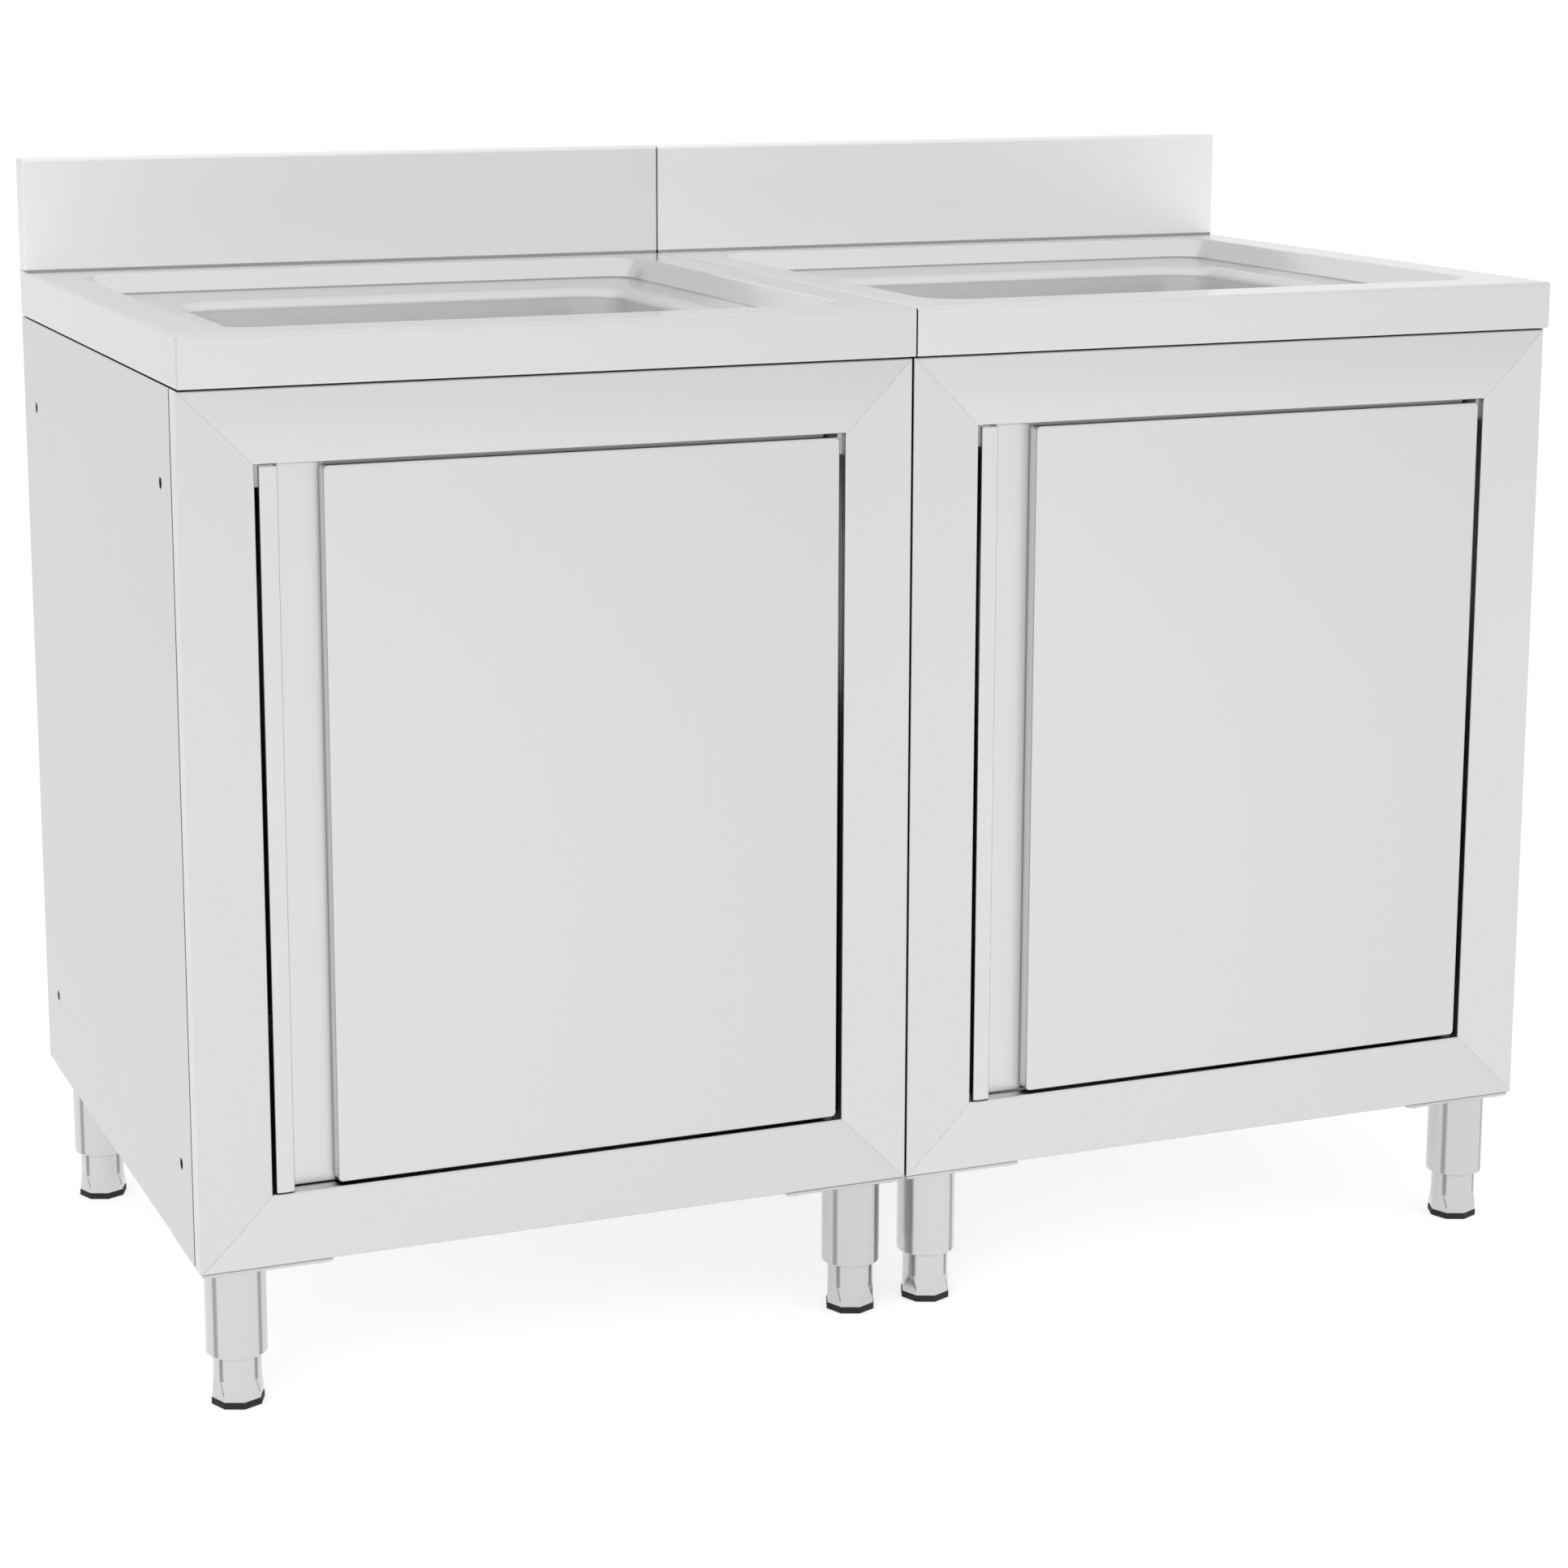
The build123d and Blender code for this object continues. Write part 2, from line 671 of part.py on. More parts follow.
def door_grip():
    """Full-height grip of folded sheet along the door's opening edge."""
    low = opening_bottom + grip_end_gap
    high = opening_top - grip_end_gap
    grip = extrude(Pos(0, 0, low) * grip_section(), amount=high - low)
    lap_left = panel_left + door_sheet
    lap_right = panel_left + grip_lap + overcut
    lower_end = (low - overcut, door_bottom + door_sheet + seat_gap)
    upper_end = (door_top - door_sheet - seat_gap, high + overcut)
    for z0, z1 in (lower_end, upper_end):
        grip -= block(lap_left, lap_right, channel_floor - overcut, door_back_face, z0, z1)
    return grip


def hinge_bushes():
    """Two flanged plastic bushes in the ends of the door."""
    bore = pin_radius + pin_running_gap
    flange = door_end_gap - bush_running_gap
    low = upright(bush_flange_radius, door_bottom - flange, door_bottom, hinge_x, hinge_y)
    low += upright(bush_radius, door_bottom, door_bottom + bush_length, hinge_x, hinge_y)
    low -= upright(
        bore, door_bottom - flange - overcut, door_bottom + bush_length + overcut, hinge_x, hinge_y
    )
    middle = (door_bottom + door_top) / 2
    top = low.mirror(Plane.XY.offset(middle))
    return Compound([low.solid(), top.solid()])


# ---- legs -----------------------------------------------------------------------------------
def leg_mount(x, y, side, end):
    """Plate with a welded sleeve; `side` and `end` point from the leg to the plate's middle."""
    cx = x + side * (plate_size / 2 - leg_inset)
    cy = y + end * (plate_size / 2 - leg_inset)
    plate = extrude(RectangleRounded(plate_size, plate_size, plate_corner_radius), amount=plate_thickness)
    mount = Pos(cx, cy, plate_bottom) * plate
    for bx, by in bolt_places(x, y, side, end):
        hole = leg_bolt_radius + leg_bolt_hole_gap
        mount -= upright(hole, plate_bottom - overcut, plate_top + overcut, bx, by)
    sleeve = upright(sleeve_radius, sleeve_bottom, plate_bottom, x, y)
    sleeve = chamfer(sleeve.edges().group_by(Axis.Z)[0], sleeve_edge_break)
    sleeve -= upright(sleeve_radius - sleeve_wall, sleeve_bottom + collar_height, plate_bottom, x, y)
    sleeve -= upright(foot_radius + foot_running_gap, sleeve_bottom - overcut, plate_bottom, x, y)
    return (mount + sleeve).solid()


def bolt_places(x, y, side, end):
    """The four bolts of one plate."""
    near, far = leg_inset - leg_bolt_inset, plate_size - leg_inset - leg_bolt_inset
    xs = (x - side * near, x + side * far)
    ys = (y - end * near, y + end * far)
    return [(bx, by) for bx in xs for by in ys]


def leg_bolt(x, y):
    """Low round-headed bolt, its shank in the plate."""
    head_bottom = plate_bottom - leg_bolt_head_height
    crown_radius = leg_bolt_head_radius - leg_bolt_head_height * tan(radians(leg_bolt_head_lean))
    head = RegularPolygon(crown_radius, leg_bolt_head_sides)
    domed = extrude(head, amount=leg_bolt_head_height, taper=-leg_bolt_head_lean)
    shank = RegularPolygon(leg_bolt_radius, leg_bolt_shank_sides)
    shank_length = plate_thickness + leg_bolt_reach
    bolt = domed + Pos(0, 0, leg_bolt_head_height) * extrude(shank, amount=shank_length)
    return Pos(x, y, head_bottom) * bolt.solid()


def foot(x, y):
    """Tube that screws out of the sleeve; its base runs from round into an octagon."""
    profile = [
        (0, sole_height), (foot_base_radius, sole_height), (foot_base_radius, foot_octagon_height),
        (foot_radius, foot_round_height), (foot_radius, foot_top), (0, foot_top),
    ]
    turned = revolve(Plane.XZ * make_face(Polyline(*profile, close=True)), Axis.Z)
    flats = extrude(Pos(0, 0, sole_height) * RegularPolygon(foot_base_radius, 8), amount=foot_top)
    piece = turned & flats
    piece -= upright(foot_radius - foot_wall, foot_round_height, foot_top + overcut)
    return Pos(x, y, 0) * piece


def sole(x, y):
    """Rubber octagon under the foot."""
    return Pos(x, y, 0) * extrude(RegularPolygon(sole_radius, 8), amount=sole_height)


def joining_bolts():
    """Bolts and nuts that draw the two cabinets together through their side holes."""
    inner = body_joint / 2 + body_sheet
    pieces = []
    for y in side_hole_ys:
        for z in side_hole_zs:
            bolt = across(joint_bolt_head_radius, -inner - joint_bolt_head_height, -inner, y, z)
            bolt += across(joint_bolt_radius, -inner, inner + 2 * joint_bolt_head_height, y, z)
            nut = extrude(RegularPolygon(joint_bolt_head_radius, 6), amount=joint_bolt_head_height)
            nut = Pos(inner, y, z) * Rot(0, 90, 0) * nut
            bore = joint_bolt_radius + pin_running_gap
            nut -= across(bore, inner - overcut, inner + 2 * joint_bolt_head_height, y, z)
            pieces += [bolt.solid(), nut.solid()]
    return Compound(pieces)


# ---- one cabinet, then the pair -----------------------------------------------------------
def unit_pieces():
    """Every piece of one cabinet, in the cabinet's own place from x = 0 to the pitch."""
    side = side_panel()
    stile = frame_stile()
    pieces = {
        "worktop": worktop(),
        "sink_bowl": sink_bowl(),
        "waste_strainer": waste_strainer(),
        "waste_nut": waste_nut(),
        "waste_outlet": waste_outlet(),
        "side_panel_left": side,
        "side_panel_right": mirrored(side),
        "back_panel": back_panel(),
        "bottom_panel": bottom_panel(),
        "frame_stile_left": stile,
        "frame_stile_right": mirrored(stile),
        "frame_rail_bottom": frame_rail_bottom(),
        "frame_rail_top": frame_rail_top(),
        "door_stop": door_stop(),
        "magnet_catch": magnet_catch(),
        "hinge_pins": hinge_pins(),
        "door_front": door_front(),
        "door_back": door_back(),
        "door_grip": door_grip(),
        "hinge_bushes": hinge_bushes(),
        "leg_mounts": Compound([leg_mount(*place) for place in corners.values()]),
    }
    for name, (x, y, _, _) in corners.items():
        pieces["foot_" + name] = foot(x, y)
        pieces["sole_" + name] = sole(x, y)
    return pieces


def write(name, shape):
    """One file per named piece."""
    export_step(shape, "parts/" + name + ".step")


os.makedirs("parts", exist_ok=True)
for unit, start in (("left", -unit_pitch), ("right", 0.0)):
    for name, piece in unit_pieces().items():
        write(unit + "_" + name, Pos(start, 0, 0) * piece)

bolts = []
for start in (-unit_pitch, 0.0):
    for place in corners.values():
        bolts += [leg_bolt(x + start, y) for x, y in bolt_places(*place)]
write("leg_bolts", Compound(bolts))
write("joining_bolts", joining_bolts())
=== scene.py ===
import math

import bmesh
import bpy
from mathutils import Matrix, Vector


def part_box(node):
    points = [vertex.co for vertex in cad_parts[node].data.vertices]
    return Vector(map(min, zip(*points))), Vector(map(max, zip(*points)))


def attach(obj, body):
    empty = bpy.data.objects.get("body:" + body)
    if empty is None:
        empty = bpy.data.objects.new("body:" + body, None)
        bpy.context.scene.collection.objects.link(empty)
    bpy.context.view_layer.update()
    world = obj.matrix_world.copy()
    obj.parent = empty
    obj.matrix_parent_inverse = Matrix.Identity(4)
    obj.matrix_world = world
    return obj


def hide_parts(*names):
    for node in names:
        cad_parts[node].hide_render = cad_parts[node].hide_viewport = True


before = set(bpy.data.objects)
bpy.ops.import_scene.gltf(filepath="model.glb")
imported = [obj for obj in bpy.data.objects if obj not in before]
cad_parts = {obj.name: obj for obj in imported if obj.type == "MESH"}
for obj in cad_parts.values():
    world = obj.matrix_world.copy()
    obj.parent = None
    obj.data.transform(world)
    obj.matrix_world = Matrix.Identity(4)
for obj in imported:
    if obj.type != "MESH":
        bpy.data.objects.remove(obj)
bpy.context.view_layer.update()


# ---- Camera ------------------------------------------------------------------------
# Long lens from the front left, a little above the worktop. The lens is shifted only
# a little, so the uprights lean in slightly.
camera_yaw, camera_pitch = 21.959, -10.814
camera_data = bpy.data.cameras.new("camera")
camera_data.sensor_width = 36.0
camera_data.lens = 79.6
camera_data.shift_x = 0.034
camera_data.shift_y = -0.10
camera = bpy.data.objects.new("camera", camera_data)
camera.location = (-1.1699, -2.8063, 1.1177)
camera.rotation_euler = (math.radians(90 + camera_pitch), 0, -math.radians(camera_yaw))
bpy.context.scene.collection.objects.link(camera)
bpy.context.scene.camera = camera
bpy.context.scene.view_settings.view_transform = "Standard"


# ---- Floor and light ---------------------------------------------------------------
# A white floor that keeps a soft shadow, white surroundings that the steel mirrors,
# and two large soft lamps.
def add_node(tree, kind, inputs, **settings):
    """A node with these settings, its inputs set to plain values or joined to outputs."""
    made = tree.nodes.new(kind)
    for setting, value in settings.items():
        setattr(made, setting, value)
    for place, value in inputs.items():
        if isinstance(value, bpy.types.NodeSocket):
            tree.links.new(value, made.inputs[place])
        else:
            made.inputs[place].default_value = value
    return made


def add_math(tree, operation, *terms):
    """The result of one sum, each term a plain number or a node's output."""
    sum_node = add_node(
        tree, "ShaderNodeMath", dict(enumerate(terms)), operation=operation)
    return sum_node.outputs[0]


def seen_directly(tree):
    """1 for rays that show the background: camera, glossy and transmission rays."""
    path = add_node(tree, "ShaderNodeLightPath", {})
    seen = path.outputs["Is Camera Ray"]
    for ray in ("Is Glossy Ray", "Is Transmission Ray"):
        seen = add_math(tree, "MAXIMUM", seen, path.outputs[ray])
    return seen


room_strength, backdrop_strength = 0.50, 1.0
world = bpy.data.worlds.new("studio")
bpy.context.scene.world = world
world.use_nodes = True
room = world.node_tree
room.nodes.clear()
room_light, white_backdrop = (
    add_node(room, "ShaderNodeBackground", {"Color": (1, 1, 1, 1), "Strength": strength})
    for strength in (room_strength, backdrop_strength))
surroundings = add_node(room, "ShaderNodeMixShader", {
    0: seen_directly(room), 1: room_light.outputs[0], 2: white_backdrop.outputs[0]})
add_node(room, "ShaderNodeOutputWorld", {0: surroundings.outputs[0]})

floor_half, floor_tone, floor_lift = 20.0, 0.8, 0.62
floor_mesh = bpy.data.meshes.new("floor")
floor_mesh.from_pydata(
    [(-floor_half, -floor_half, 0), (floor_half, -floor_half, 0),
     (floor_half, floor_half, 0), (-floor_half, floor_half, 0)], [], [(0, 1, 2, 3)])
floor = bpy.data.objects.new("floor", floor_mesh)
bpy.context.scene.collection.objects.link(floor)
floor_paint = bpy.data.materials.new("floor_white")
floor_paint.use_nodes = True
paint = floor_paint.node_tree
paint.nodes.clear()
matt = add_node(paint, "ShaderNodeBsdfDiffuse", {
    "Color": (floor_tone, floor_tone, floor_tone, 1)})
lift = add_node(paint, "ShaderNodeEmission", {
    "Strength": add_math(paint, "MULTIPLY", seen_directly(paint), floor_lift)})
together = add_node(paint, "ShaderNodeAddShader", {0: matt.outputs[0], 1: lift.outputs[0]})
add_node(paint, "ShaderNodeOutputMaterial", {0: together.outputs[0]})
floor_mesh.materials.append(floor_paint)


def soft_lamp(name, place, aim, size, power):
    """A large square lamp that points at `aim` and does not show in the steel."""
    lamp_data = bpy.data.lights.new(name, "AREA")
    lamp_data.shape = "SQUARE"
    lamp_data.size = size
    lamp_data.energy = power
    lamp = bpy.data.objects.new(name, lamp_data)
    lamp.location = place
    direction = Vector(aim) - Vector(place)
    lamp.rotation_euler = direction.to_track_quat("-Z", "Y").to_euler()
    lamp.visible_glossy = False
    bpy.context.scene.collection.objects.link(lamp)


cabinets_middle = (0, 0, 0.5)
soft_lamp("key_lamp", (-3.2, -3.6, 3.4), cabinets_middle, size=3.0, power=36)
soft_lamp("fill_lamp", (3.4, -3.0, 2.6), cabinets_middle, size=2.5, power=12)


# ---- Worktops ----------------------------------------------------------------------
# One folded stainless sheet each, pressed to a recess and bent up at the back into the
# splashback. The visible face is satin, brushed along its length after welding.
def group_tree(name, inputs, outputs):
    """An empty shader group: its inputs with their usual values, its outputs numbers."""
    tree = bpy.data.node_groups.new(name, "ShaderNodeTree")
    for socket_name, value in inputs.items():
        kind = "NodeSocketVector" if isinstance(value, tuple) else "NodeSocketFloat"
        socket = tree.interface.new_socket(socket_name, in_out="INPUT", socket_type=kind)
        socket.default_value = value
    for socket_name in outputs:
        tree.interface.new_socket(
            socket_name, in_out="OUTPUT", socket_type="NodeSocketFloat")
    given, result = tree.nodes.new("NodeGroupInput"), tree.nodes.new("NodeGroupOutput")
    return tree, given.outputs, result.inputs


def object_place(tree):
    """Where a point lies on the object, in metres."""
    return add_node(tree, "ShaderNodeTexCoord", {}).outputs["Object"]


def reach_along(tree, vector, direction):
    """How far a vector reaches along a direction."""
    product = add_node(
        tree, "ShaderNodeVectorMath", {0: vector, 1: direction}, operation="DOT_PRODUCT")
    return product.outputs["Value"]


def brush_marks_group():
    """Fine parallel scratches of an abrasive belt: noise drawn out along one direction."""
    tree, given, result = group_tree(
        "brush_marks", {"Stretch": (1, 1, 1), "Fineness": 1.0}, ["Marks"])
    drawn_out = add_node(
        tree, "ShaderNodeVectorMath", {0: object_place(tree), 1: given["Stretch"]},
        operation="MULTIPLY")
    noise = add_node(tree, "ShaderNodeTexNoise", {
        "Vector": drawn_out.outputs[0], "Scale": given["Fineness"],
        "Detail": 2.0, "Roughness": 0.5})
    tree.links.new(noise.outputs["Fac"], result["Marks"])
    return tree


def sheet_waves_group():
    """The slow unevenness that every flat sheet panel has."""
    tree, given, result = group_tree("sheet_waves", {"Size": 3.0}, ["Height"])
    noise = add_node(tree, "ShaderNodeTexNoise", {
        "Vector": object_place(tree), "Scale": given["Size"],
        "Detail": 1.0, "Roughness": 0.3})
    tree.links.new(noise.outputs["Fac"], result["Height"])
    return tree


def crevice_shade_group():
    """0 deep in a joint between sheets and 1 in the open: painted shade that darkens joints.
    """
    tree, given, result = group_tree("painted_crevice_shade", {"Reach": 0.004}, ["Open"])
    nearby = add_node(
        tree, "ShaderNodeAmbientOcclusion", {"Distance": given["Reach"]}, samples=6)
    spread = add_node(tree, "ShaderNodeMapRange", {
        "Value": nearby.outputs["AO"], "From Min": 0.12, "From Max": 0.85})
    tree.links.new(spread.outputs["Result"], result["Open"])
    return tree


def across_unit_group():
    """How far across its own cabinet a point lies, from 0 at the left to 1 at the right."""
    tree, given, result = group_tree("across_unit", {"Pitch": 0.6}, ["Across"])
    place = add_node(tree, "ShaderNodeSeparateXYZ", {0: object_place(tree)})
    in_units = add_math(tree, "DIVIDE", place.outputs["X"], given["Pitch"])
    above_zero = add_math(tree, "ADD", in_units, 2.0)
    tree.links.new(add_math(tree, "FRACT", above_zero), result["Across"])
    return tree


def along_group():
    """Where a point lies along a direction: 1 between two places, and its share of the way."""
    tree, given, result = group_tree(
        "along", {"Direction": (0, 0, 1), "From": 0.0, "To": 1.0}, ["Within", "Share"])
    distance = reach_along(tree, object_place(tree), given["Direction"])
    past_start = add_math(tree, "GREATER_THAN", distance, given["From"])
    before_end = add_math(tree, "LESS_THAN", distance, given["To"])
    within = add_math(tree, "MULTIPLY", past_start, before_end)
    share = add_node(tree, "ShaderNodeMapRange", {
        "Value": distance, "From Min": given["From"], "From Max": given["To"]})
    tree.links.new(within, result["Within"])
    tree.links.new(share.outputs["Result"], result["Share"])
    return tree


brush_marks = brush_marks_group()
sheet_waves = sheet_waves_group()
painted_crevice_shade = crevice_shade_group()
across_unit = across_unit_group()
along = along_group()


def scale_colour(material, factor, low, high):
    """Scales a material's colour by low to high, as the factor runs from 0 to 1."""
    tree = material.node_tree
    base_colour = tree.nodes["Principled BSDF"].inputs["Base Color"]
    scale = add_node(tree, "ShaderNodeMapRange", {
        "Value": factor, "To Min": low, "To Max": high})
    product = add_node(
        tree, "ShaderNodeVectorMath",
        {0: base_colour.links[0].from_socket, "Scale": scale.outputs["Result"]},
        operation="SCALE")
    tree.links.new(product.outputs[0], base_colour)


def toned(material, zones, tone, output="Within"):
    """Scales a material's colour to a tone where all its zones meet, or with "Share" more
    and more along the way. A zone is a direction and two places along it, in metres."""
    tree = material.node_tree
    measured = [
        add_node(tree, "ShaderNodeGroup", {
            "Direction": direction, "From": start, "To": end}, node_tree=along)
        for direction, start, end in zones]
    meeting = measured[0].outputs[output]
    for zone in measured[1:]:
        meeting = add_math(tree, "MULTIPLY", meeting, zone.outputs[output])
    scale_colour(material, meeting, 1.0, tone)
    return meeting


def satin_steel(
    name, light, dark, roughness, stretch, wave,
    edge=0.0008, relief=0.000001, joint_shade_tone=0.10, painted_light_ramp=(1.03, 0.955),
):
    """Brushed stainless sheet: grain, gloss, relief, waves, broken edges, painted joint shade
    and a painted light ramp across each cabinet.
    """
    gloss_spread, warmth = 0.01, 0.995
    material = bpy.data.materials.new(name)
    material.use_nodes = True
    tree = material.node_tree
    shader = tree.nodes["Principled BSDF"]
    shader.inputs["Metallic"].default_value = 1.0
    grain = add_node(tree, "ShaderNodeGroup", {
        "Stretch": stretch, "Fineness": 90.0}, node_tree=brush_marks)
    marks = grain.outputs["Marks"]
    colour = add_node(tree, "ShaderNodeMix", {
        "Factor": marks, "A": (dark, dark, dark, 1),
        "B": (light, light, light * warmth, 1)}, data_type="RGBA")
    tree.links.new(colour.outputs["Result"], shader.inputs["Base Color"])
    # Painted light: the colour is lighter on each cabinet's left and darker on its right.
    across = add_node(tree, "ShaderNodeGroup", {}, node_tree=across_unit)
    scale_colour(material, across.outputs["Across"], *painted_light_ramp)
    # Painted shade: the colour darkens deep in the joints between sheets.
    joint_shade = add_node(tree, "ShaderNodeGroup", {}, node_tree=painted_crevice_shade)
    scale_colour(material, joint_shade.outputs["Open"], joint_shade_tone, 1.0)
    gloss = add_node(tree, "ShaderNodeMapRange", {
        "Value": marks, "From Min": 0.3, "From Max": 0.7,
        "To Min": roughness - gloss_spread, "To Max": roughness + gloss_spread})
    tree.links.new(gloss.outputs["Result"], shader.inputs["Roughness"])
    rounded = add_node(tree, "ShaderNodeBevel", {"Radius": edge}, samples=4)
    waves = add_node(tree, "ShaderNodeGroup", {"Size": 4.0}, node_tree=sheet_waves)
    slow = add_node(tree, "ShaderNodeBump", {
        "Strength": 1.0, "Distance": wave,
        "Height": waves.outputs["Height"], "Normal": rounded.outputs["Normal"]})
    fine = add_node(tree, "ShaderNodeBump", {
        "Strength": 0.35, "Distance": relief,
        "Height": marks, "Normal": slow.outputs["Normal"]})
    tree.links.new(fine.outputs["Normal"], shader.inputs["Normal"])
    return material


def finish_node(name, material):
    """Gives a carried-over part its material."""
    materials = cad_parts[name].data.materials
    materials.clear()
    materials.append(material)


units = ("left", "right")
along_x, along_z = (0.06, 6.0, 6.0), (6.0, 6.0, 0.06)
to_left, to_right, to_back, up = (-1, 0, 0), (1, 0, 0), (0, 1, 0), (0, 0, 1)
worktop_steel = satin_steel(
    "worktop_steel", light=0.72, dark=0.70, roughness=0.20, stretch=along_x, wave=0.0003)

# Painted shade: the splashback's fold and the foot of the recess are darkened.
fold_shade_zone, fold_shade_tone = (up, 0.8503, 0.8517), 0.50
foot_shade_zones = [(up, 0.8321, 0.8330), (to_right, -0.59, 0.59), (to_back, -0.28, 0.28)]
foot_shade_tone = 0.55
# The splashback is finished with a coarser belt than the top, so it mirrors less of it.
# Its colour is lifted as painted light, and darkens towards its top as painted shade.
splashback_foot, splashback_top, top_margin = 0.8520, 0.950, 0.01
splashback_painted_light, splashback_top_shade, splashback_coarser_by = 1.35, 0.94, 0.40
# Painted shade: the closed ends are a little darker.
end_from, end_past, end_shade_tone = 0.5985, 0.7, 0.88

toned(worktop_steel, [fold_shade_zone], fold_shade_tone)
toned(worktop_steel, [(up, splashback_foot, splashback_top)], splashback_top_shade, "Share")
on_splashback = toned(
    worktop_steel, [(up, splashback_foot, splashback_top + top_margin)], splashback_painted_light)
for outward in (to_left, to_right):
    toned(worktop_steel, [(outward, end_from, end_past)], end_shade_tone)
toned(worktop_steel, foot_shade_zones, foot_shade_tone)
top_tree = worktop_steel.node_tree
top_roughness = top_tree.nodes["Principled BSDF"].inputs["Roughness"]
coarser = add_math(
    top_tree, "MULTIPLY_ADD", on_splashback, splashback_coarser_by,
    top_roughness.links[0].from_socket)
top_tree.links.new(coarser, top_roughness)
for unit in units:
    finish_node(unit + "_worktop", worktop_steel)


# ---- Sink bowls --------------------------------------------------------------------
# Deep-drawn stainless bowls with a rolled edge, butt-welded into the recess floor. The
# weld is ground flush; the inside is satin polished without a direction.
# Painted shade: the bowl darkens towards its rolled edge. Its colour is also lighter than the
# worktop's, as painted light.
rim_shade_zone, rim_shade_tone = (up, 0.8200, 0.8310), 0.80
bowl_steel = satin_steel(
    "bowl_steel", light=0.865, dark=0.84, roughness=0.38, stretch=(2.0, 2.0, 2.0),
    wave=0.0003)
toned(bowl_steel, [rim_shade_zone], rim_shade_tone, "Share")
for unit in units:
    finish_node(unit + "_sink_bowl", bowl_steel)


# ---- Wastes ------------------------------------------------------------------------
# A polished strainer cup in the bowl's seat, a moulded back nut that clamps it and a
# moulded coupling with the outlet pipe.
def moulded_plastic(name, colour, roughness):
    """Injection-moulded plastic: slight mottling and a fine eroded surface."""
    mottle_tone = 0.94
    material = bpy.data.materials.new(name)
    material.use_nodes = True
    tree = material.node_tree
    shader = tree.nodes["Principled BSDF"]
    shader.inputs["Roughness"].default_value = roughness
    place = object_place(tree)
    mottle = add_node(tree, "ShaderNodeTexNoise", {
        "Vector": place, "Scale": 60.0, "Detail": 3.0})
    tone = add_node(tree, "ShaderNodeMix", {
        "Factor": mottle.outputs["Fac"], "A": (*[c * mottle_tone for c in colour], 1),
        "B": (*colour, 1)}, data_type="RGBA")
    tree.links.new(tone.outputs["Result"], shader.inputs["Base Color"])
    erosion = add_node(tree, "ShaderNodeTexNoise", {"Vector": place, "Scale": 2500.0})
    relief = add_node(tree, "ShaderNodeBump", {
        "Strength": 0.25, "Distance": 0.00003, "Height": erosion.outputs["Fac"]})
    tree.links.new(relief.outputs["Normal"], shader.inputs["Normal"])
    return material


strainer_steel = satin_steel(
    "strainer_steel", light=0.78, dark=0.74, roughness=0.16, stretch=(1.5, 1.5, 1.5),
    wave=0.0)
pipe_plastic = moulded_plastic("pipe_plastic", (0.78, 0.78, 0.76), 0.45)
for unit in units:
    finish_node(unit + "_waste_strainer", strainer_steel)
    finish_node(unit + "_waste_nut", pipe_plastic)
    finish_node(unit + "_waste_outlet", pipe_plastic)


# ---- Cabinets ----------------------------------------------------------------------
# Side trays, back sheet and floor tray of folded stainless sheet, brushed upright on
# the sides. They are riveted and spot-welded together through their flanges.
def inner_side_group():
    """1 on the faces that look in a given direction."""
    tree, given, result = group_tree("inner_side", {"Direction": (1, 0, 0)}, ["Inside"])
    facing = add_node(tree, "ShaderNodeNewGeometry", {})
    agreement = reach_along(tree, facing.outputs["True Normal"], given["Direction"])
    tree.links.new(add_math(tree, "GREATER_THAN", agreement, 0.5), result["Inside"])
    return tree


inner_side = inner_side_group()


def cabinet_sheet(name, inside, **finish):
    """Satin sheet whose inner side, which looks along `inside`, is darkened as painted shade.
    """
    interior_shade_tone = 0.25
    material = satin_steel(name, wave=0.0012, **finish)
    inner = add_node(
        material.node_tree, "ShaderNodeGroup", {"Direction": inside}, node_tree=inner_side)
    scale_colour(material, inner.outputs["Inside"], 1.0, interior_shade_tone)
    return material


to_front = (0, -1, 0)
# Painted shade: a dark line down the side panels' front edge, at the seam with the frame.
front_edge_shade_zone, front_edge_shade_tone = (to_back, -0.2757, -0.2736), 0.12
# The side sheets' colour is darker than the other sheets' as painted shade.
side_finish = dict(light=0.595, dark=0.58, roughness=0.30, stretch=along_z)
left_side_steel = cabinet_sheet("left_side_steel", to_right, **side_finish)
right_side_steel = cabinet_sheet("right_side_steel", to_left, **side_finish)
for side_steel in (left_side_steel, right_side_steel):
    toned(side_steel, [front_edge_shade_zone], front_edge_shade_tone)
back_steel = cabinet_sheet(
    "back_steel", to_front, light=0.70, dark=0.67, roughness=0.38, stretch=along_x)
bottom_steel = cabinet_sheet(
    "bottom_steel", up, light=0.66, dark=0.62, roughness=0.38, stretch=along_x)
for unit in units:
    finish_node(unit + "_side_panel_left", left_side_steel)
    finish_node(unit + "_side_panel_right", right_side_steel)
    finish_node(unit + "_back_panel", back_steel)
    finish_node(unit + "_bottom_panel", bottom_steel)


# ---- Front frames ------------------------------------------------------------------
# Four crowned C-section members of satin sheet round the door opening, mitred and
# welded at the corners. Each is brushed along its own length.
frame_finish = dict(light=0.685, dark=0.67, roughness=0.28, wave=0.0002)
stile_steel = satin_steel("stile_steel", stretch=along_z, painted_light_ramp=(1.0, 1.0), **frame_finish)
rail_steel = satin_steel("rail_steel", stretch=along_x, **frame_finish)
for unit in units:
    finish_node(unit + "_frame_stile_left", stile_steel)
    finish_node(unit + "_frame_stile_right", stile_steel)
    finish_node(unit + "_frame_rail_top", rail_steel)
    finish_node(unit + "_frame_rail_bottom", rail_steel)


